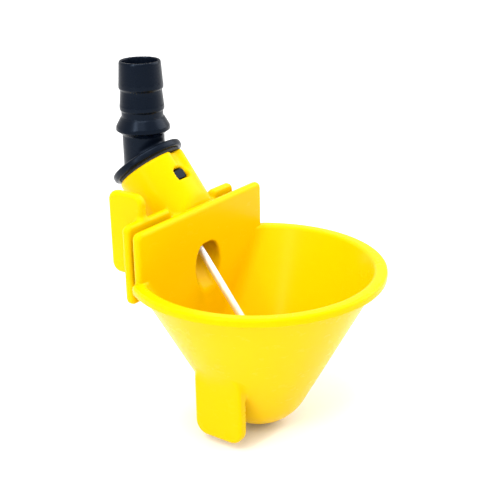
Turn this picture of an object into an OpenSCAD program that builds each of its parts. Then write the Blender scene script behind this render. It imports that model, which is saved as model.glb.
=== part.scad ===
// Cup drinker for small livestock: a yellow moulded cup that hooks onto a mesh or sheet wall,
// with a tilting steel pin valve behind it and a barbed elbow for the water hose.
//
// Frame, in millimetres: the origin is on the face of the front plate that bears on the wall,
// in the plane of the valve and level with the rim. +X is to the right of somebody who looks
// at the cup, +Y goes through the wall to the back, and +Z is up.

/* [Cup] */
// Outer radius of the rim
rim_r = 41; // [36:0.5:48]
// Depth from the rim to the lowest point of the cup
cup_depth = 54.6; // [46:0.1:66]
// Distance from the wall face forward to the axis of the cup
cup_reach = 23.6; // [20:0.1:28]
// Sideways place of the axis of the cup, from the plane of the valve
cup_shift = -1.4; // [-3:0.1:3]
// Distance that the rim band stands out from the cup's wall
band_out = 2.8; // [2:0.1:4]
// Radius of the rounded nose at the bottom of the cup
nose_r = 17.6; // [12:0.1:20]
// Thickness of the cup's wall
cup_wall = 2.4; // [1.6:0.1:3.2]
// Height of the band around the rim
lip_h = 3; // [2:0.1:5]
// Chamfer along the edges of the rim band
lip_edge = 0.9; // [0.4:0.1:1.2]

/* [Side leg] */
// Distance of the leg's outer face from the axis of the cup
leg_out = 22.9; // [21:0.1:26]
// Width of the leg
leg_w = 18; // [12:0.5:26]
// Thickness of the leg
leg_t = 3.6; // [2.4:0.1:5]
// Height of the leg's lower end above the lowest point of the cup
leg_up = 2.8; // [0:0.1:10]
// Rounding of the leg's lower corners
leg_round = 4; // [1:0.5:6]

/* [Plates and wall slots] */
// Width of the front plate
plate_w = 60.5; // [56:0.5:72]
// Thickness of the front plate
plate_t = 3; // [2.4:0.1:4]
// Height of the front plate above the rim
plate_rise = 15.8; // [13:0.1:19]
// Sideways place of the front plate, from the plane of the valve
plate_shift = -1.75; // [-3:0.25:3]
// Gap between the two plates, which takes the wall
slot_gap = 2.6; // [2:0.1:4]
// Width of the rear plate
rear_w = 54; // [46:0.5:58]
// Sideways place of the rear plate, from the plane of the valve
rear_shift = -4.75; // [-6:0.25:0]
// Thickness of the rear plate
rear_t = 3; // [2:0.1:4]
// Height of the rear plate above the rim
rear_rise = 16.7; // [14:0.1:20]
// Depth of the rear plate below the rim
rear_drop = 11; // [6:0.5:13]
// Rounding of the plates' corners
corner_r = 1.8; // [0.5:0.1:2.4]

/* [Side ear] */
// Distance of the ear's outer face from the plane of the valve
ear_out = 24.5; // [19:0.5:25]
// Thickness of the ear
ear_t = 3.2; // [2:0.1:4]
// Reach of the ear behind the rear plate
ear_reach = 11.6; // [8:0.1:16]
// Height of the ear's top above the rim
ear_rise = 24.3; // [18:0.1:28]
// Depth of the ear's foot below the rim
ear_drop = 3; // [0:0.5:6]
// Rounding of the ear's corners
ear_round = 3; // [1:0.5:5]

/* [Valve housing] */
// Slope of the valve's axis above the horizontal, in degrees
valve_slope = 51.7; // [50:0.1:54]
// Depth below the rim at which the axis meets the front face of the plate
outlet_drop = 4; // [3:0.5:6]
// Outer radius of the housing
housing_r = 11.7; // [11:0.1:13]
// Length of the housing along its axis, from the front face of the plate
housing_len = 37; // [36:0.5:42]
// Half the height of the oval outlet bore that the pin comes out of, across the axis
outlet_r = 4.8; // [4:0.1:5.2]
// Half the width of the outlet bore
outlet_w = 6.3; // [5.3:0.1:6.6]
// Offset of the outlet bore below the axis of the valve
outlet_low = 0.9; // [0:0.1:1]
// Radius of the chamber that holds the valve
chamber_r = 8.5; // [8:0.1:9]
// Distance along the axis to the shoulder at the foot of the chamber
shoulder_s = 18.4; // [18.2:0.1:19]
// Width of each snap window across the axis
window_w = 5.6; // [4:0.1:8]
// Turn of the snap windows about the axis, from the front towards +X, in degrees
window_turn = -4; // [-20:1:20]
// Height of each snap window along the axis
window_h = 4.2; // [2.4:0.1:4.4]
// Distance along the axis to the middle of the snap windows
window_s = 29; // [29:0.1:31]

/* [Hose elbow] */
// Radius of the plain hose pipe
pipe_r = 6.9; // [6.4:0.05:7]
// Radius of the bore through the pipe
pipe_bore_r = 5; // [4:0.1:5.5]
// Radius of the bore at the mouth of the pipe
mouth_r = 5.9; // [5:0.1:6.2]
// Distance of the pipe's axis behind the middle of the disc
pipe_back = 2; // [0:0.1:3]
// Height of the pipe's mouth above the rim
pipe_top = 60.4; // [52:0.1:70]
// Radius of the two barbs
barb_r = 7.3; // [6.8:0.05:7.6]
// Length of the straight land on each barb
barb_land = 1.2; // [0.8:0.1:2]
// Distance from one barb to the next
barb_pitch = 7; // [6:0.1:8]
// Radius of the flange that stops the hose
stop_r = 8.9; // [8:0.1:10]
// Radius of the disc that covers the housing
disc_r = 12.6; // [12:0.1:14]
// Thickness of the disc
disc_t = 2.6; // [2:0.1:4]
// Thickness of the flat gasket under the disc
gasket_t = 0.8; // [0.5:0.1:1.5]

/* [Pin valve] */
// Radius of the steel pin
pin_r = 1.25; // [1:0.05:1.5]
// Length of pin that reaches past the front face of the plate
pin_reach = 32; // [24:0.5:36]
// Radius of the valve head
head_r = 4.8; // [4.2:0.1:5]
// Radius of the head's domed back, about the point where the pin tilts
head_round_r = 5.2; // [5.1:0.1:5.5]
// Thickness of the seat bush
bush_t = 1.8; // [1.4:0.1:2]
// Radius of the throat through the seat bush
throat_r = 3; // [2.6:0.1:3.4]
// Thickness of the rubber seat seal
seal_t = 1.4; // [1:0.1:1.6]
// Radius of the spring's wire
wire_r = 0.3; // [0.2:0.05:0.4]
// Radius of the spring to the middle of its wire
spring_r = 3; // [2.6:0.1:3.4]
// Number of turns of the spring
spring_turns = 6; // [4:1:8]

/* [Hidden] */

$fn = 96;
big = 200;           // reaches past the whole object in a cut
soft_fn = 32;        // facets on small roundings
yellow = "gold";
black = [0.10, 0.11, 0.13];

// Cup: a cone from the foot of the rim band, tangent to its round nose. The cone's lean is kept
// to a tenth of a degree.
nose_z = nose_r - cup_depth;
wall_r = rim_r - band_out;
wall_h = cup_depth - nose_r - lip_h;
lean = acos(nose_r / norm([wall_r, wall_h])) - atan2(wall_h, wall_r);
cone_angle = round(lean * 10) / 10;
function cone_r(z, r = nose_r) = (r + (z - nose_z) * sin(cone_angle)) / cos(cone_angle);

// Plates, one on each side of the wall.
rear_y = slot_gap;
rear_back = rear_y + rear_t;
neck_drop = outlet_drop + (outlet_r + outlet_low) / cos(valve_slope) + 1;
leg_top = -lip_h - 2;
leg_drop = cup_depth - leg_up;

// Places along the valve's axis, from the front face of the plate.
bush_top = shoulder_s + bush_t;
head_s = bush_top + seal_t;
pivot_s = bush_top + seal_t / 2;
head_rise = sqrt(pow(head_round_r, 2) - pow(head_r, 2));
dome_s = pivot_s + head_round_r;
pin_seat = 2.6;                            // depth of the pin's hole in the head
cup_gap = 0.12;                            // running gap between the dome and the spring cup
cup_t = 0.8;
cup_r = 3.4;
cage_s = pivot_s + head_rise + 1;          // underside of the cage's flange
cage_t = 1;
cage_r = 5.2;
cage_wall = 0.6;
cage_top = housing_len - 2.4;
cage_slots = 4;
nose_s = cage_s + cage_t + 0.1;            // inner end of the spigot
o_ring_wire = 0.8;
step_s = nose_s + 2 * o_ring_wire + 0.2;   // step of the spigot above its O-ring
spigot_nose_r = chamber_r - 2 * o_ring_wire;
spigot_r = chamber_r - 0.15;
spigot_bore_r = 5.3;
disc_s = housing_len + gasket_t;
pipe_y = -plate_t + disc_s * cos(valve_slope) + pipe_back;
tip_h = 0.8;                               // bevel at the mouth of the pipe
first_barb = 9.8;                          // foot of the first barb, below the mouth
stop_drop = 24;                            // foot of the stop flange, below the mouth
lug_gap = 0.35;
lug_out = housing_r - 0.5;
insert_s = cage_top + 0.2;                 // restrictor and strainer above the cage
restrictor_t = 0.9;
strainer_t = 1.2;
strainer_hole = 0.9;

// Places a shape that is drawn along +Z on the axis of the valve, s from the plate's front face.
module on_valve(s = 0) {
    translate([0, -plate_t + s * cos(valve_slope), -outlet_drop + s * sin(valve_slope)])
        rotate([valve_slope - 90, 0, 0]) children();
}

// A round solid or hole along the axis of the valve from s0 to s1.
module valve_rod(r, s0, s1) {
    on_valve(s0) cylinder(r = r, h = s1 - s0);
}

// A ring along the axis of the valve.
module valve_ring(r_out, r_in, s0, s1) {
    difference() {
        valve_rod(r_out, s0, s1);
        valve_rod(r_in, s0 - 1, s1 + 1);
    }
}

// Rounded rectangle from one corner to the other.
module rounded_box_2d(x0, x1, y0, y1, r) {
    translate([x0 + r, y0]) square([x1 - x0 - 2 * r, y1 - y0]);
    translate([x0, y0 + r]) square([x1 - x0, y1 - y0 - 2 * r]);
    for (x = [x0 + r, x1 - r], y = [y0 + r, y1 - r]) translate([x, y]) circle(r, $fn = soft_fn);
}

// Upright plate in the XZ plane from y0 to y1.
module upright_plate(x0, x1, y0, y1, z0, z1, r) {
    translate([0, y1, 0]) rotate([90, 0, 0]) linear_extrude(y1 - y0) rounded_box_2d(x0, x1, z0, z1, r);
}

module at_cup_axis() {
    translate([cup_shift, -cup_reach, 0]) children();
}

// Solid of the cup's outer or inner shape, up to the height top: a half profile turned about its axis.
module cup_form(r, top) {
    z0 = nose_z - r * sin(cone_angle);
    at_cup_axis() rotate_extrude() intersection() {
        union() {
            translate([0, nose_z]) circle(r);
            polygon([[0, z0], [cone_r(z0, r), z0], [cone_r(top, r), top], [0, top]]);
        }
        translate([0, -big]) square([big, 2 * big]);
    }
}

// Band around the rim, with chamfered edges.
module lip_band() {
    r0 = cone_r(-lip_h) - cup_wall;
    at_cup_axis() rotate_extrude() polygon([
        [r0, -lip_h], [rim_r - lip_edge, -lip_h], [rim_r, -lip_h + lip_edge],
        [rim_r, -lip_edge], [rim_r - lip_edge, 0], [r0, 0]]);
}

// Oval bore below the valve: two round sides and the flat stretch between them.
module outlet_bore() {
    flat = outlet_w - outlet_r;
    on_valve(-20) translate([0, outlet_low, 0]) linear_extrude(shoulder_s + 21) {
        for (side = [-flat, flat]) translate([side, 0]) circle(outlet_r);
        translate([-flat, -outlet_r]) square([2 * flat, 2 * outlet_r]);
    }
}

module cup() {
    color(yellow) difference() {
        union() {
            cup_form(nose_r, -lip_edge);
            lip_band();
        }
        difference() {
            cup_form(nose_r - cup_wall, 1);
            translate([-big / 2, -plate_t, -big / 2]) cube(big);
        }
        translate([-big / 2, 0, -big / 2]) cube(big);
        translate([-big / 2, -plate_t, -big - lip_h]) cube([big, big, big]);
        translate([plate_shift - plate_w / 2, -plate_t, -lip_h - 1]) cube([plate_w, big, big]);
    }
}

module side_leg() {
    color(yellow) difference() {
        at_cup_axis() translate([-leg_out, 0, 0]) rotate([90, 0, 90]) linear_extrude(leg_t)
            rounded_box_2d(-leg_w / 2, leg_w / 2, -leg_drop, leg_top, leg_round);
        cup_form(nose_r, 0);
    }
}

module front_plate() {
    color(yellow) difference() {
        union() {
            upright_plate(plate_shift - plate_w / 2, plate_shift + plate_w / 2, -plate_t, 0,
                          -lip_h - corner_r, plate_rise, corner_r);
            intersection() {
                cup_form(nose_r, -lip_h);
                translate([-big / 2, -plate_t, -big]) cube([big, plate_t, big]);
            }
        }
        outlet_bore();
    }
}

module slot_neck() {
    color(yellow) difference() {
        translate([-housing_r, 0, -neck_drop])
            cube([2 * housing_r, slot_gap, neck_drop + plate_rise - corner_r]);
        outlet_bore();
    }
}

module rear_outline() {
    upright_plate(rear_shift - rear_w / 2, rear_shift + rear_w / 2, rear_y, rear_back,
                  -rear_drop, rear_rise, corner_r);
    translate([-housing_r, rear_y, -neck_drop])
        cube([2 * housing_r, rear_t, neck_drop + rear_rise - corner_r]);
}

module rear_plate() {
    color(yellow) difference() {
        rear_outline();
        outlet_bore();
        valve_rod(chamber_r, shoulder_s, housing_len);
    }
}

module side_ear() {
    color(yellow) intersection() {
        translate([-ear_out, 0, 0]) rotate([90, 0, 90]) linear_extrude(ear_t)
            rounded_box_2d(rear_back - ear_round, rear_back + ear_reach, -ear_drop, ear_rise, ear_round);
        translate([-big / 2, rear_back, -big / 2]) cube(big);
    }
}

// Window through the housing on the side that faces n: front and up for 0, back and down for 180.
module window_cut(turn, w, h, r0, r1) {
    on_valve(window_s) rotate([0, 0, window_turn + turn])
        translate([-w / 2, -r1, -h / 2]) cube([w, r1 - r0, h]);
}

module valve_housing() {
    color(yellow) difference() {
        intersection() {
            valve_rod(housing_r, -8, housing_len);
            translate([-big / 2, 0, -neck_drop]) cube(big);
        }
        outlet_bore();
        valve_rod(chamber_r, shoulder_s, housing_len + 1);
        for (turn = [0, 180]) window_cut(turn, window_w, window_h, chamber_r - 2, housing_r + 2);
        rear_outline();
        translate([-housing_r, -1, -neck_drop - 1])
            cube([2 * housing_r, slot_gap + 1, neck_drop + plate_rise - corner_r + 1]);
    }
}

// Barbed stretch of the pipe: each barb opens towards its foot and ends in a short straight land.
module barbs() {
    root_r = barb_r - 0.5;
    tops = [pipe_top - tip_h, pipe_top - first_barb];
    for (k = [0, 1]) translate([0, 0, pipe_top - first_barb - k * barb_pitch]) {
        rise = tops[k] - (pipe_top - first_barb - k * barb_pitch) - 1 - barb_land;
        cylinder(r1 = root_r, r2 = barb_r, h = 1);
        translate([0, 0, 1]) cylinder(r = barb_r, h = barb_land);
        translate([0, 0, 1 + barb_land]) cylinder(r1 = barb_r, r2 = root_r, h = rise);
    }
    translate([0, 0, pipe_top - tip_h]) cylinder(r1 = root_r, r2 = mouth_r + 0.4, h = tip_h);
}

// Flange that stops the hose, between two cones, with a short collar above it.
module stop_flange() {
    translate([0, 0, pipe_top - stop_drop]) {
        cylinder(r1 = pipe_r, r2 = stop_r, h = 1.4);
        translate([0, 0, 1.4]) cylinder(r = stop_r, h = 1.2);
        translate([0, 0, 2.6]) cylinder(r1 = stop_r, r2 = barb_r - 0.1, h = 2.8);
        translate([0, 0, 5.4]) cylinder(r = barb_r - 0.4, h = 1.8);
    }
}

module hose_elbow() {
    color(black) difference() {
        union() {
            difference() {
                translate([0, pipe_y, 0]) {
                    cylinder(r = pipe_r, h = pipe_top - stop_drop + 0.5);
                    cylinder(r = barb_r - 0.6, h = pipe_top - tip_h);
                    barbs();
                    stop_flange();
                }
                on_valve(disc_s) translate([-big / 2, -big / 2, -big]) cube(big);
            }
            valve_rod(disc_r, disc_s, disc_s + disc_t);
            valve_rod(spigot_r, step_s, disc_s + 0.5);
            valve_rod(spigot_nose_r, nose_s, step_s + 0.5);
            for (turn = [0, 180])
                window_cut(turn, window_w - 2 * lug_gap, window_h - 2 * lug_gap, spigot_r - 1, lug_out);
        }
        translate([0, pipe_y, pipe_top - 12]) cylinder(r1 = pipe_bore_r, r2 = mouth_r, h = 12.01);
        translate([0, pipe_y, -outlet_drop + disc_s * sin(valve_slope)]) {
            cylinder(r = pipe_bore_r, h = pipe_top);
            sphere(pipe_bore_r);
        }
        valve_rod(spigot_bore_r, nose_s - 1, disc_s);
    }
}

module flange_gasket() {
    color(black) valve_ring(housing_r - 0.6, chamber_r, housing_len, disc_s);
}

module spigot_o_ring() {
    color(black) on_valve((nose_s + step_s) / 2)
        rotate_extrude() translate([chamber_r - o_ring_wire - 0.02, 0]) circle(o_ring_wire - 0.02, $fn = soft_fn);
}

// Disc with a hole in the middle that meters the water.
module flow_restrictor() {
    color("tomato") valve_ring(spigot_bore_r, 1.1, insert_s, insert_s + restrictor_t);
}

module strainer_frame() {
    color("white") valve_ring(spigot_bore_r, spigot_bore_r - 1, insert_s + restrictor_t,
                              insert_s + restrictor_t + strainer_t);
}

// Woven screen, drawn as a thin disc with square holes.
module strainer_mesh() {
    pitch = strainer_hole * 1.6;
    s0 = insert_s + restrictor_t + strainer_t / 2 - 0.15;
    color("silver") difference() {
        valve_rod(spigot_bore_r - 1, s0, s0 + 0.3);
        on_valve(s0 - 1) for (i = [-2:2], j = [-2:2]) if (norm([i, j]) * pitch < spigot_bore_r - 2)
            translate([i * pitch - strainer_hole / 2, j * pitch - strainer_hole / 2, 0])
                cube([strainer_hole, strainer_hole, 3]);
    }
}

// Cage that holds the back of the spring: a flange, a slotted tower and a closed top.
module spring_cage() {
    color("white") difference() {
        union() {
            valve_rod(chamber_r, cage_s, cage_s + cage_t);
            valve_rod(cage_r, cage_s, cage_top);
        }
        valve_rod(cage_r - cage_wall, cage_s - 1, cage_top - cage_wall);
        on_valve(cage_s + cage_t + 1.5) for (k = [0:cage_slots - 1]) rotate([0, 0, 45 + k * 360 / cage_slots])
            translate([0, -1, 0]) cube([cage_r + 1, 2, cage_top - cage_s - cage_t - 4]);
    }
}

// Open coil between the spring cup and the top of the cage.
module return_spring() {
    ring_steps = 18;
    wire_sides = 8;
    low = dome_s + cup_gap + cup_t + wire_r;
    high = cage_top - cage_wall - wire_r;
    rings = spring_turns * ring_steps;
    points = [for (i = [0:rings], k = [0:wire_sides - 1])
        let (a = 360 * i / ring_steps, b = 360 * k / wire_sides, r = spring_r + wire_r * cos(b))
        [r * cos(a), r * sin(a), (high - low) * i / rings + wire_r * sin(b)]];
    sides = [for (i = [0:rings - 1], k = [0:wire_sides - 1])
        let (k1 = (k + 1) % wire_sides, a = i * wire_sides, b = a + wire_sides)
        [a + k, b + k, b + k1, a + k1]];
    ends = [[for (k = [0:wire_sides - 1]) k],
            [for (k = [wire_sides - 1:-1:0]) rings * wire_sides + k]];
    color("silver") on_valve(low) polyhedron(points, concat(sides, ends));
}

// Cup that rides on the head's domed back and centres the spring.
module spring_cup() {
    color("silver") difference() {
        valve_rod(cup_r, dome_s - 1.2, dome_s + cup_gap + cup_t);
        on_valve(pivot_s) sphere(head_round_r + cup_gap);
    }
}

module valve_head() {
    color("silver") on_valve(pivot_s) rotate_extrude() difference() {
        intersection() {
            circle(head_round_r);
            translate([0, seal_t / 2]) square([head_r, head_round_r]);
        }
        square([pin_r, seal_t / 2 + pin_seat]);
    }
}

module actuator_pin() {
    tip = 0.6;
    len = pin_reach + head_s + pin_seat;
    color("silver") on_valve(-pin_reach) rotate_extrude()
        polygon([[0, 0], [pin_r - tip, 0], [pin_r, tip], [pin_r, len], [0, len]]);
}

module seat_seal() {
    color("dimgray") valve_ring(chamber_r, throat_r, bush_top, head_s);
}

module seat_bush() {
    color("white") valve_ring(chamber_r, throat_r, shoulder_s, bush_top);
}

cup();
side_leg();
front_plate();
slot_neck();
rear_plate();
side_ear();
valve_housing();
hose_elbow();
flange_gasket();
spigot_o_ring();
strainer_frame();
strainer_mesh();
flow_restrictor();
spring_cage();
return_spring();
spring_cup();
valve_head();
actuator_pin();
seat_seal();
seat_bush();
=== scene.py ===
"""Looks for the cup drinker: moulded pieces, materials, floor, light and camera, around the CAD.

Shapes are distance fields in millimetres, in the frame of the part. Each is meshed once, with
soft fillets.
"""

import math

import bpy
import numpy as np
from mathutils import Matrix, Vector


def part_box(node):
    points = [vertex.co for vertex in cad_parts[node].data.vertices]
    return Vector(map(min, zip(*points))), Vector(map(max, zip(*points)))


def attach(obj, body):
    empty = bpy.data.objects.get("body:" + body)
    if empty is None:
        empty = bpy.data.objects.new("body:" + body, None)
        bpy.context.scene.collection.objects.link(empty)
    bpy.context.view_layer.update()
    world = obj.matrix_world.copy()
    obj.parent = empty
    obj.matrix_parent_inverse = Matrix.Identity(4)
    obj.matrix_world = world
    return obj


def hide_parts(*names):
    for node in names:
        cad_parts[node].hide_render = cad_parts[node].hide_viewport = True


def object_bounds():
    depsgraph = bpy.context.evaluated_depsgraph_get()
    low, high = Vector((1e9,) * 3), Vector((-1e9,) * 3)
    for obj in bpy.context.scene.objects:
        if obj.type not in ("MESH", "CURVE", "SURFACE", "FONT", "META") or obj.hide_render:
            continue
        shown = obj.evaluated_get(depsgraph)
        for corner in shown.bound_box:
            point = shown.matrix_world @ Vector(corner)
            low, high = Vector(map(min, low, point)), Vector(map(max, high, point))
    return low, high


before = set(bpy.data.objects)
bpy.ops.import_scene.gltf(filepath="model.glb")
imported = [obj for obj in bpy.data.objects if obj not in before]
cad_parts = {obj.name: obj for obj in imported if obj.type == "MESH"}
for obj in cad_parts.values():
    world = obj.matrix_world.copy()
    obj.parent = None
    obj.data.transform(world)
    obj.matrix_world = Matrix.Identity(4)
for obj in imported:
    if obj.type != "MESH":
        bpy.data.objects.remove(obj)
cad_box = [list(corner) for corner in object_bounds()]

MM = 0.001
LOW, HIGH = 0, 1


def node_box(name):
    """Lowest and highest corner of a CAD node, in millimetres."""
    return [np.array(corner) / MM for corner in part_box(name)]


# ---- Places and sizes, in millimetres ----

front, rear, ear, leg, neck = (
    node_box(n) for n in ("front_plate", "rear_plate", "side_ear", "side_leg", "slot_neck")
)
cup = node_box("cup")
RIM_R = 41.0
CUP_AXIS = np.array([cup[LOW][0] + RIM_R, cup[LOW][1] + RIM_R])
CONE = math.radians(28.2)
NOSE_R = 17.6
NOSE_Z = cup[LOW][2] + NOSE_R
WALL = 2.4
LIP_H = 3.0
LIP_EDGE = 0.9
PLATE_T = 3.0
PLATE_FOOT = -LIP_H - 1.8
REAR_FOOT = -9.5
HOUSING_R, CHAMBER_R = 11.7, 8.5
OUTLET_R, OUTLET_W, OUTLET_LOW = 4.8, 6.3, 0.9
SHOULDER, HOUSING_LEN = 18.4, 37.0
SLOPE = math.radians(51.7)
VALVE_FOOT = np.array([0.0, -PLATE_T, -4.0])
VALVE_U = np.array([0.0, math.cos(SLOPE), math.sin(SLOPE)])
VALVE_N = np.array([0.0, -math.sin(SLOPE), math.cos(SLOPE)])
WINDOW_S, WINDOW_W, WINDOW_H, WINDOW_TURN = 29.0, 5.6, 4.2, math.radians(-4)
LUG_GAP = 0.35
SCOOP_SIDE, SCOOP_OUT, SCOOP_R = 3.4, 13.2, 3.8
DISC_S, DISC_T, DISC_R = 37.8, 2.6, 12.6
PIPE_Y, PIPE_TOP = 22.428, 60.4
NOSE_S, STEP_S = 25.0, 26.8
SPIGOT_R, SPIGOT_NOSE_R, SPIGOT_BORE_R = 8.35, 6.9, 5.3
PIPE_BORE_R, MOUTH_R = 5.0, 5.9
FAR = 200.0

# Where the fields of hidden ends begin, along the valve's axis or out from it.
HOUSING_START, OUTLET_START, WINDOW_IN = -8.0, -10.0, 5.0
BAND_IN = 8.0  # reach of the rim band's section inside the rim
NECK_HALF = HOUSING_R - 0.6
NOTCH_IN, NOTCH_LOW = 0.4, 0.6  # reach of the rear plate's notch into the neck
EAR_ROOT, OVERLAP = 2.0, 1.0  # reach of one shape into the next, out of sight
LUG_OUT = HOUSING_R - 1.6
MOUTH_H = 12.0  # height over which the pipe's bore widens to its mouth

# Roundings of the yellow moulding: corners and edges of single shapes, and fillets between them.
BOWL_TOP, BOWL_BACK, BOWL_HOLLOW, BOWL_LIP, BAND_FILLET = 0.6, 2.6, 2.4, 0.9, 1.2
LEG_CORNER, LEG_EDGE, LEG_FILLET = 4.5, 1.1, 1.8
PLATE_CORNER, PLATE_EDGE = 2.2, 1.3
HOUSING_EDGE, HOUSING_FOOT, HOUSING_FRONT = 0.8, 1.0, 1.5
NECK_CORNER, NECK_EDGE, NECK_FILLET = 1.5, 0.5, 1.4
NOTCH_CORNER, NOTCH_SIDES, REAR_FILLET = 1.2, 1.6, 1.6
EAR_CORNER, EAR_EDGE = 3.2, 1.2
BORE_EDGE, OUTLET_MOUTH, CHAMBER_MOUTH = 0.4, 1.0, 0.6
WINDOW_CORNER, WINDOW_EDGE, SCOOP_FOOT, SCOOP_EDGE = 1.0, 0.6, 2.4, 1.2

# Roundings of the elbow.
PIPE_EDGE, DISC_EDGE, DISC_FILLET = 0.5, 0.9, 1.6
SPIGOT_EDGE, LUG_EDGE, LUG_FILLET, CHANNEL_EDGE = 0.3, 0.5, 0.4, 0.7


# ---- Distance fields ----


def smooth_min(a, b, k):
    """The lesser of two fields, run together over the width k."""
    h = np.maximum(k - np.abs(a - b), 0) / k
    return np.minimum(a, b) - h * h * k / 4


def smooth_max(a, b, k):
    """The greater of two fields, run together over the width k."""
    return -smooth_min(-a, -b, k)


def rect(p, q, lo, hi, corner):
    """Rounded rectangle in the plane of p and q."""
    return thick(slab(p, lo[0], hi[0]), slab(q, lo[1], hi[1]), corner)


def thick(outline, across, edge):
    """Solid between an outline and a distance across it, with rounded edges."""
    a, b = outline + edge, across + edge
    return np.minimum(np.maximum(a, b), 0) + np.hypot(np.maximum(a, 0), np.maximum(b, 0)) - edge


def slab(v, lo, hi):
    """Space between two levels of v."""
    return np.abs(v - (lo + hi) / 2) - (hi - lo) / 2


def valve_axes(p):
    """Distance along the valve's axis, and the offsets across it: to the side and to the front."""
    q = p - VALVE_FOOT
    return q @ VALVE_U, q[:, 0], q @ VALVE_N


def window_axes(side, forward):
    """The two offsets across the valve's axis, turned with the snap windows."""
    c, t = math.cos(WINDOW_TURN), math.sin(WINDOW_TURN)
    return side * c - forward * t, side * t + forward * c


def cup_form(radius, z, r):
    """A cone that runs into a round nose of radius r, about the cup's axis."""
    up = z - NOSE_Z
    along = radius * math.sin(CONE) + up * math.cos(CONE)
    cone = radius * math.cos(CONE) - up * math.sin(CONE)
    return np.where(along < 0, np.hypot(radius, up), cone) - r


def opening(across, s, gap):
    """Outline of a snap window, or of its lug with the gap around it."""
    half_w, half_h = WINDOW_W / 2 - gap, WINDOW_H / 2 - gap
    return rect(across, s, (-half_w, WINDOW_S - half_h), (half_w, WINDOW_S + half_h), WINDOW_CORNER)


def bowl_and_plate(p):
    """The cup with its rim band and leg, and the front plate."""
    x, y, z = p.T
    radius = np.hypot(x - CUP_AXIS[0], y - CUP_AXIS[1])
    outer, inner = cup_form(radius, z, NOSE_R), cup_form(radius, z, NOSE_R - WALL)

    bowl = smooth_max(outer, z + LIP_EDGE, BOWL_TOP)
    band = rect(radius, z, (RIM_R - BAND_IN, -LIP_H), (RIM_R, 0), LIP_EDGE)
    bowl = smooth_min(bowl, band, BAND_FILLET)
    leg_face = rect(y, z, leg[LOW][1:], leg[HIGH][1:], LEG_CORNER)
    leg_plate = thick(leg_face, slab(x, leg[LOW][0], leg[HIGH][0]), LEG_EDGE)
    bowl = smooth_min(bowl, leg_plate, LEG_FILLET)
    bowl = smooth_max(bowl, y, BOWL_BACK)
    bowl = smooth_max(bowl, -smooth_max(inner, y + PLATE_T, BOWL_HOLLOW), BOWL_LIP)

    plate = rect(x, z, (front[LOW][0], PLATE_FOOT), (front[HIGH][0], front[HIGH][2]), PLATE_CORNER)
    return np.minimum(bowl, thick(plate, slab(y, -PLATE_T, 0), PLATE_EDGE))


def housing_and_rear(p):
    """The valve housing with its neck, the rear plate on both sides of it, and the ear."""
    x, y, z = p.T
    s, side, forward = valve_axes(p)
    neck_foot, neck_top = neck[LOW][2], neck[HIGH][2]

    housing = np.hypot(side, forward) - HOUSING_R
    housing = thick(housing, slab(s, HOUSING_START, HOUSING_LEN), HOUSING_EDGE)
    housing = smooth_max(housing, neck_foot - z, HOUSING_FOOT)
    housing = smooth_max(housing, -y, HOUSING_FRONT)
    joint = rect(x, z, (-NECK_HALF, neck_foot), (NECK_HALF, neck_top), NECK_CORNER)
    joint = thick(joint, slab(y, -OVERLAP, rear[HIGH][1]), NECK_EDGE)
    housing = smooth_min(housing, joint, NECK_FILLET)

    bars = rect(x, z, (rear[LOW][0], REAR_FOOT), (rear[HIGH][0], rear[HIGH][2]), PLATE_CORNER)
    notch_half = NECK_HALF - NOTCH_IN
    notch = rect(x, z, (-notch_half, neck_top - NOTCH_LOW), (notch_half, FAR), NOTCH_CORNER)
    bars = smooth_max(bars, -notch, NOTCH_SIDES)
    bars = thick(bars, slab(y, rear[LOW][1], rear[HIGH][1]), PLATE_EDGE)
    housing = smooth_min(housing, bars, REAR_FILLET)

    wing = rect(y, z, (ear[LOW][1] - EAR_ROOT, ear[LOW][2]), ear[HIGH][1:], EAR_CORNER)
    wing = thick(wing, slab(x, ear[LOW][0], ear[HIGH][0]), EAR_EDGE)
    return smooth_min(housing, np.maximum(wing, rear[LOW][1] + OVERLAP - y), REAR_FILLET)


def moulding(p):
    """The yellow moulding: cup, leg, plates, ear and valve housing, with the bores and windows."""
    s, side, forward = valve_axes(p)
    solid = np.minimum(bowl_and_plate(p), housing_and_rear(p))

    flat = np.maximum(np.abs(side) - (OUTLET_W - OUTLET_R), 0)
    outlet = np.hypot(flat, forward + OUTLET_LOW) - OUTLET_R
    outlet = thick(outlet, slab(s, OUTLET_START, SHOULDER + OVERLAP), BORE_EDGE)
    solid = smooth_max(solid, -outlet, OUTLET_MOUTH)
    chamber = thick(np.hypot(side, forward) - CHAMBER_R, slab(s, SHOULDER, FAR), BORE_EDGE)
    solid = smooth_max(solid, -chamber, CHAMBER_MOUTH)

    turn_side, turn_front = window_axes(side, forward)
    window = np.maximum(opening(turn_side, s, 0), WINDOW_IN - np.abs(turn_front))
    solid = smooth_max(solid, -window, WINDOW_EDGE)
    scoop = np.hypot(turn_side - SCOOP_SIDE, turn_front - SCOOP_OUT) - SCOOP_R
    scoop = smooth_max(scoop, WINDOW_S - s, SCOOP_FOOT)
    return smooth_max(solid, -scoop, SCOOP_EDGE)


# Outer radius of the hose pipe at depths below its mouth: two barbs, a collar and the stop flange.
PIPE_PROFILE = [
    (0.0, 6.5), (0.8, 6.8), (7.2, 7.22), (7.6, 7.3), (8.9, 7.3), (9.5, 6.85),
    (10.3, 6.85), (14.2, 7.22), (14.6, 7.3), (15.9, 7.3), (16.5, 6.85),
    (18.4, 6.85), (18.8, 7.3), (21.4, 8.75), (22.6, 8.9), (23.9, 7.1), (24.3, 6.9),
]
PROFILE_SLOPE = 0.8  # keeps the field's slope near 1 where the profile leans


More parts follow.
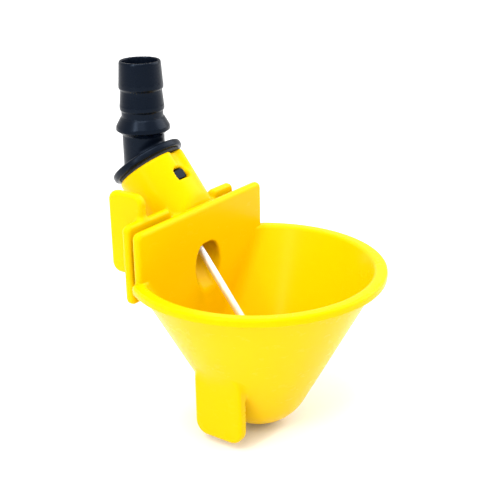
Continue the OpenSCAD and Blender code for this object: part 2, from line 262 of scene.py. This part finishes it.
def elbow(p):
    """The black hose elbow: barbed pipe, stop flange, disc and spigot."""
    x, y, z = p.T
    radius = np.hypot(x, y - PIPE_Y)
    s, side, forward = valve_axes(p)
    around = np.hypot(side, forward)

    drop = PIPE_TOP - z
    outline = np.interp(drop, *zip(*PIPE_PROFILE))
    pipe = thick((radius - outline) * PROFILE_SLOPE, -drop, PIPE_EDGE)
    pipe = np.maximum(pipe, DISC_S - s)
    disc = thick(around - DISC_R, slab(s, DISC_S, DISC_S + DISC_T), DISC_EDGE)
    solid = smooth_min(pipe, disc, DISC_FILLET)

    spigot = thick(around - SPIGOT_R, slab(s, STEP_S, DISC_S + OVERLAP), SPIGOT_EDGE)
    nose = thick(around - SPIGOT_NOSE_R, slab(s, NOSE_S, STEP_S + OVERLAP), SPIGOT_EDGE)
    turn_side, turn_front = window_axes(side, forward)
    lug = thick(opening(turn_side, s, LUG_GAP), np.abs(turn_front) - LUG_OUT, LUG_EDGE)
    solid = np.minimum(solid, smooth_min(np.minimum(spigot, nose), lug, LUG_FILLET))

    centre = VALVE_FOOT + DISC_S * VALVE_U
    bore_r = np.interp(z, [PIPE_TOP - MOUTH_H, PIPE_TOP], [PIPE_BORE_R, MOUTH_R])
    well = np.where(
        z > centre[2],
        radius - bore_r,
        np.sqrt(x**2 + (y - PIPE_Y) ** 2 + (z - centre[2]) ** 2) - PIPE_BORE_R,
    )
    channel = np.maximum(around - SPIGOT_BORE_R, s - DISC_S)
    return smooth_max(solid, -np.minimum(well, channel), CHANNEL_EDGE)


# ---- Meshing ----

CORNERS = [(i, j, k) for i in (0, 1) for j in (0, 1) for k in (0, 1)]
SLOPE_STEP = 0.02
FLAT_SLOPE = 0.25  # least squared slope that a step is divided by
TINY = 1e-9  # least length that a vector is divided by
KEEP = 0.4  # share of the faces that stay after thinning


def gradient(field, p):
    """Slope of the field at each point."""
    g = np.zeros_like(p)
    for axis in range(3):
        shift = np.zeros(3)
        shift[axis] = SLOPE_STEP
        g[:, axis] = (field(p + shift) - field(p - shift)) / (2 * SLOPE_STEP)
    return g


def settle(field, p, reach, rounds):
    """Moves points onto the surface of the field, each by at most reach."""
    for _ in range(rounds):
        g = gradient(field, p)
        size = np.maximum((g * g).sum(1), FLAT_SLOPE)
        step = -(field(p) / size)[:, None] * g
        length = np.maximum(np.linalg.norm(step, axis=1, keepdims=True), TINY)
        p = p + step * np.minimum(1, reach / length)
    return p


def surface(field, low, high, cell):
    """Points and four-sided faces of the field's zero surface.

    A grid is laid over the field, with one point in each cell that the surface crosses.
    """
    counts = [int(math.ceil((high[a] - low[a]) / cell)) + 1 for a in range(3)]
    axes = [low[a] + cell * np.arange(counts[a]) for a in range(3)]
    values = np.empty(counts)
    plane = np.stack(np.meshgrid(axes[1], axes[2], indexing="ij"), -1).reshape(-1, 2)
    for i, x in enumerate(axes[0]):
        points = np.column_stack([np.full(len(plane), x), plane])
        values[i] = field(points).reshape(counts[1], counts[2])
    inside = values < 0
    cells = [n - 1 for n in counts]
    total = sum(
        inside[i : i + cells[0], j : j + cells[1], k : k + cells[2]].astype(np.int8)
        for i, j, k in CORNERS
    )
    crossed = (total > 0) & (total < 8)
    index = np.full(cells, -1)
    index[crossed] = np.arange(crossed.sum())
    base = np.argwhere(crossed)
    corner = {c: values[tuple((base + c).T)] for c in CORNERS}
    centre = np.zeros((len(base), 3))
    hits = np.zeros(len(base))
    for a in CORNERS:
        for axis in range(3):
            if a[axis]:
                continue
            b = tuple(v + (n == axis) for n, v in enumerate(a))
            fa, fb = corner[a], corner[b]
            cross = (fa < 0) != (fb < 0)
            t = np.where(cross, fa / np.where(cross, fa - fb, 1), 0)
            on_edge = np.array(a) + t[:, None] * (np.array(b) - a)
            centre += np.where(cross[:, None], on_edge, 0)
            hits += cross
    points = np.array(low) + cell * (base + centre / hits[:, None])
    faces = []
    for axis in range(3):
        u, v = (axis + 1) % 3, (axis + 2) % 3
        a = inside[tuple(slice(0, -1) if n == axis else slice(None) for n in range(3))]
        b = inside[tuple(slice(1, None) if n == axis else slice(None) for n in range(3))]
        edge = np.argwhere(a != b)
        for side in (u, v):
            edge = edge[(edge[:, side] > 0) & (edge[:, side] < cells[side])]
        du, dv = np.eye(3, dtype=int)[u], np.eye(3, dtype=int)[v]
        quad = np.column_stack([index[tuple((edge - o).T)] for o in (du + dv, dv, 0 * du, du)])
        flip = ~a[tuple(edge.T)]
        quad[flip] = quad[flip][:, ::-1]
        faces.append(quad)
    return points, np.concatenate(faces)


def build(name, field, low, high, cell):
    """Mesh object of a field: meshed on a grid, thinned out, then set on the surface again."""
    points, faces = surface(field, low, high, cell)
    points = settle(field, points, cell / 2, 3)
    mesh = bpy.data.meshes.new(name)
    mesh.from_pydata(points * MM, [], faces)
    mesh.validate()
    obj = bpy.data.objects.new(name, mesh)
    bpy.context.scene.collection.objects.link(obj)
    thin = obj.modifiers.new("thin", "DECIMATE")
    thin.ratio = KEEP
    bpy.context.view_layer.update()
    graph = bpy.context.evaluated_depsgraph_get()
    thinned = bpy.data.meshes.new_from_object(obj.evaluated_get(graph))
    obj.modifiers.clear()
    obj.data = thinned
    thinned.name = name
    bpy.data.meshes.remove(mesh)
    co = np.array([v.co for v in thinned.vertices]) / MM
    co = settle(field, co, cell / 4, 2)
    co = np.clip(co, np.array(cad_box[LOW]) / MM, np.array(cad_box[HIGH]) / MM)
    thinned.vertices.foreach_set("co", (co * MM).ravel())
    normals = gradient(field, co)
    normals /= np.maximum(np.linalg.norm(normals, axis=1, keepdims=True), TINY)
    thinned.polygons.foreach_set("use_smooth", [True] * len(thinned.polygons))
    thinned.normals_split_custom_set_from_vertices(normals.tolist())
    thinned.update()
    return obj


# ---- Materials ----

# Moulded surfaces: waves of noise to the metre, and heights of relief in metres.
FLOW_WAVES, FLOW_STRETCH = 22, (1, 1, 0.45)
SCUFF_WAVES, SCUFF_STRETCH = 160, (1, 1, 2.2)
SCUFF_SPAN = 0.07  # change of roughness that scuffs make
RIPPLE_WAVES, RIPPLE_H, GRAIN_H = 40, 0.0001, 0.00003

# Drawn steel.
STREAK_WAVES, STREAK_STRETCH, STREAK_H = 900, (1, 1, 0.02), 0.00002


class Shader:
    """A material and its nodes, made one after another."""

    def __init__(self, name, **constants):
        self.material = bpy.data.materials.new(name)
        self.material.use_nodes = True
        self.tree = self.material.node_tree
        self.surface = self.tree.nodes["Principled BSDF"]
        for socket, value in constants.items():
            self.surface.inputs[socket.replace("_", " ")].default_value = value
        self.place = self.tree.nodes.new("ShaderNodeTexCoord").outputs["Object"]

    def link(self, a, b):
        self.tree.links.new(a, b)

    def stretched(self, scale, turn=(0, 0, 0)):
        """The place on the object, with its axes scaled and turned."""
        node = self.tree.nodes.new("ShaderNodeMapping")
        node.inputs["Scale"].default_value = scale
        node.inputs["Rotation"].default_value = turn
        self.link(self.place, node.inputs["Vector"])
        return node.outputs[0]

    def noise(self, scale, detail=3.0, place=None, rough=0.5):
        """Noise with this many waves to the metre."""
        node = self.tree.nodes.new("ShaderNodeTexNoise")
        node.inputs["Scale"].default_value = scale
        node.inputs["Detail"].default_value = detail
        node.inputs["Roughness"].default_value = rough
        self.link(place or self.place, node.inputs["Vector"])
        return node.outputs[0]

    def ramp(self, value, stops):
        """Colour from a value, between stops of position and colour."""
        node = self.tree.nodes.new("ShaderNodeValToRGB")
        while len(node.color_ramp.elements) < len(stops):
            node.color_ramp.elements.new(0.5)
        for element, (position, colour) in zip(node.color_ramp.elements, stops):
            element.position = position
            element.color = (*colour, 1)
        self.link(value, node.inputs[0])
        return node.outputs[0]

    def span(self, value, low, high):
        """A value from 0 to 1 brought between low and high."""
        node = self.tree.nodes.new("ShaderNodeMapRange")
        node.inputs["To Min"].default_value = low
        node.inputs["To Max"].default_value = high
        self.link(value, node.inputs["Value"])
        return node.outputs[0]

    def bump(self, value, strength, height, before=None):
        """Relief of a height in metres, on top of the one before."""
        node = self.tree.nodes.new("ShaderNodeBump")
        node.inputs["Strength"].default_value = strength
        node.inputs["Distance"].default_value = height
        self.link(value, node.inputs["Height"])
        if before:
            self.link(before, node.inputs["Normal"])
        return node.outputs[0]

    def finish(self, colour, roughness, normal):
        """Joins the three to the surface and gives the material."""
        self.link(colour, self.surface.inputs["Base Color"])
        self.link(roughness, self.surface.inputs["Roughness"])
        self.link(normal, self.surface.inputs["Normal"])
        return self.material


def moulded(name, dark, mid, light, roughness, grain, **constants):
    """Moulded plastic or rubber: drift of the colour, faint flow marks, fine grain and scuffs."""
    m = Shader(name, **constants)
    flow = m.noise(FLOW_WAVES, 4, m.stretched(FLOW_STRETCH), 0.6)
    colour = m.ramp(flow, [(0.25, dark), (0.5, mid), (0.78, light)])
    scuffs = m.noise(SCUFF_WAVES, 6, m.stretched(SCUFF_STRETCH), 0.7)
    rough = m.span(scuffs, roughness - SCUFF_SPAN, roughness + SCUFF_SPAN)
    fine = m.bump(m.noise(grain, 2), 0.10, GRAIN_H)
    relief = m.bump(m.noise(RIPPLE_WAVES, 1), 0.05, RIPPLE_H, fine)
    return m.finish(colour, rough, relief)


def steel(name, streak_turn, tint):
    """Drawn steel: fine streaks along one direction, with slight changes of gloss."""
    m = Shader(name, Metallic=0.7, IOR=2.5)
    drawn = m.noise(STREAK_WAVES, 4, m.stretched(STREAK_STRETCH, streak_turn), 0.65)
    colour = m.ramp(drawn, [(0.3, [0.80 * t for t in tint]), (0.7, tint)])
    rough = m.span(drawn, 0.28, 0.5)
    return m.finish(colour, rough, m.bump(drawn, 0.12, STREAK_H))


YELLOW = moulded(
    "yellow_moulding",
    dark=(0.72, 0.46, 0.0),
    mid=(0.75, 0.48, 0.0),
    light=(0.78, 0.50, 0.0),
    roughness=0.26,
    grain=2600,
    Subsurface_Weight=0.15,
    Subsurface_Radius=(1.0, 0.6, 0.02),
    Subsurface_Scale=0.002,
    Specular_IOR_Level=0.08,
    Specular_Tint=(1.0, 0.9, 0.3, 1.0),
)
BLACK = moulded(
    "black_nylon",
    dark=(0.001, 0.002, 0.004),
    mid=(0.0015, 0.003, 0.007),
    light=(0.003, 0.005, 0.012),
    roughness=0.28,
    grain=3200,
    Specular_IOR_Level=0.15,
    Specular_Tint=(0.55, 0.72, 1.0, 1.0),
)
RUBBER = moulded(
    "black_rubber",
    dark=(0.012, 0.012, 0.012),
    mid=(0.018, 0.018, 0.018),
    light=(0.028, 0.028, 0.028),
    roughness=0.7,
    grain=2600,
)
WHITE = moulded(
    "white_acetal",
    dark=(0.74, 0.73, 0.69),
    mid=(0.80, 0.79, 0.76),
    light=(0.86, 0.85, 0.82),
    roughness=0.38,
    grain=2800,
)
RED = moulded(
    "red_acetal",
    dark=(0.42, 0.03, 0.02),
    mid=(0.52, 0.04, 0.03),
    light=(0.62, 0.06, 0.04),
    roughness=0.4,
    grain=2800,
)
PIN_STEEL = steel("drawn_steel", (math.pi / 2 - SLOPE, 0, 0), (0.86, 0.85, 0.83))
WIRE_STEEL = steel("spring_steel", (0, 0, 0), (0.72, 0.72, 0.72))


# ---- Pieces ----

BODY = "body"
MARGIN = 1.6  # room around a piece in its grid
YELLOW_CELL = 0.7
ELBOW_CELL = 0.42

yellow_boxes = [cup, leg, front, neck, rear, ear, node_box("valve_housing")]
yellow_low = np.min([box[LOW] for box in yellow_boxes], axis=0)
yellow_high = np.max([box[HIGH] for box in yellow_boxes], axis=0)
yellow_piece = build(
    "drinker_moulding", moulding, yellow_low - MARGIN, yellow_high + MARGIN, YELLOW_CELL
)
yellow_piece.data.materials.append(YELLOW)
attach(yellow_piece, BODY)
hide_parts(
    "cup", "side_leg", "front_plate", "slot_neck", "rear_plate", "side_ear",
    "valve_housing"
)

elbow_box = node_box("hose_elbow")
elbow_piece = build(
    "barbed_elbow", elbow, elbow_box[LOW] - MARGIN, elbow_box[HIGH] + MARGIN, ELBOW_CELL
)
elbow_piece.data.materials.append(BLACK)
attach(elbow_piece, BODY)
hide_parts("hose_elbow")

NODE_LOOKS = {
    "flange_gasket": RUBBER,
    "spigot_o_ring": RUBBER,
    "seat_seal": RUBBER,
    "strainer_frame": WHITE,
    "spring_cage": WHITE,
    "seat_bush": WHITE,
    "flow_restrictor": RED,
    "strainer_mesh": WIRE_STEEL,
    "return_spring": WIRE_STEEL,
    "spring_cup": PIN_STEEL,
    "valve_head": PIN_STEEL,
    "actuator_pin": PIN_STEEL,
}
for name, material in NODE_LOOKS.items():
    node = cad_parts[name]
    node.data.materials.clear()
    node.data.materials.append(material)


# ---- Floor, light and camera ----

FLOOR_HALF = 4.0
floor_z = cad_box[LOW][2]
floor_mesh = bpy.data.meshes.new("floor")
floor_mesh.from_pydata(
    [(FLOOR_HALF * i, FLOOR_HALF * j, floor_z) for i, j in ((-1, -1), (1, -1), (1, 1), (-1, 1))],
    [],
    [(0, 1, 2, 3)],
)
floor = bpy.data.objects.new("floor", floor_mesh)
bpy.context.scene.collection.objects.link(floor)
paper = Shader("pale_paper")
floor_mesh.materials.append(
    paper.finish(
        paper.ramp(paper.noise(6), [(0.3, (0.88, 0.88, 0.88)), (0.7, (0.92, 0.92, 0.92))]),
        paper.span(paper.noise(40), 0.75, 0.85),
        paper.bump(paper.noise(300), 0.05, 0.0002),
    )
)

bpy.context.scene.view_settings.view_transform = "Standard"
world = bpy.data.worlds.new("studio")
bpy.context.scene.world = world
world.use_nodes = True
world.node_tree.nodes["Background"].inputs["Color"].default_value = (1, 1, 1, 1)
world.node_tree.nodes["Background"].inputs["Strength"].default_value = 1.0

AIM = Vector((0, -0.012, 0))


def outward(azimuth, elevation):
    """Direction away from the object; azimuth 0 is in front of it and 90 on its right."""
    a, e = math.radians(azimuth), math.radians(elevation)
    return Vector((math.sin(a) * math.cos(e), -math.cos(a) * math.cos(e), math.sin(e)))


def soft_light(name, azimuth, elevation, distance, size, power, height=None):
    """A flat lamp that faces the object from a direction."""
    away = outward(azimuth, elevation)
    data = bpy.data.lights.new(name, "AREA")
    data.shape = "RECTANGLE"
    data.size = size
    data.size_y = height or size
    data.energy = power
    lamp = bpy.data.objects.new(name, data)
    bpy.context.scene.collection.objects.link(lamp)
    lamp.location = AIM + away * distance
    lamp.rotation_euler = away.to_track_quat("Z", "Y").to_euler()


soft_light("key", -75, 68, 0.8, 0.6, 4.5)
soft_light("front", 55, 30, 0.9, 0.7, 4.5)
soft_light("top", 40, 82, 0.9, 1.2, 2.0)
soft_light("strip", -92, 34, 0.8, 0.07, 2.4, height=0.5)

AZIMUTH, ELEVATION, ROLL = -54.19, 21.18, math.radians(-0.98)
FOCAL, SENSOR, CLIP_START = 76.62, 36.0, 0.01
DISTANCE, SHIFT_RIGHT, SHIFT_UP = 0.350, 0.01611, -0.00022

back = outward(AZIMUTH, ELEVATION)
right = Vector((math.cos(math.radians(AZIMUTH)), math.sin(math.radians(AZIMUTH)), 0))
up = back.cross(right)
right, up = (
    right * math.cos(ROLL) + up * math.sin(ROLL),
    up * math.cos(ROLL) - right * math.sin(ROLL),
)
camera = bpy.data.objects.new("camera", bpy.data.cameras.new("camera"))
camera.data.lens = FOCAL
camera.data.sensor_width = SENSOR
camera.data.clip_start = CLIP_START
bpy.context.scene.collection.objects.link(camera)
place = right * SHIFT_RIGHT + up * SHIFT_UP + back * DISTANCE
turn = Matrix((right, up, back)).transposed()
camera.matrix_world = Matrix.Translation(place) @ turn.to_4x4()
bpy.context.scene.camera = camera
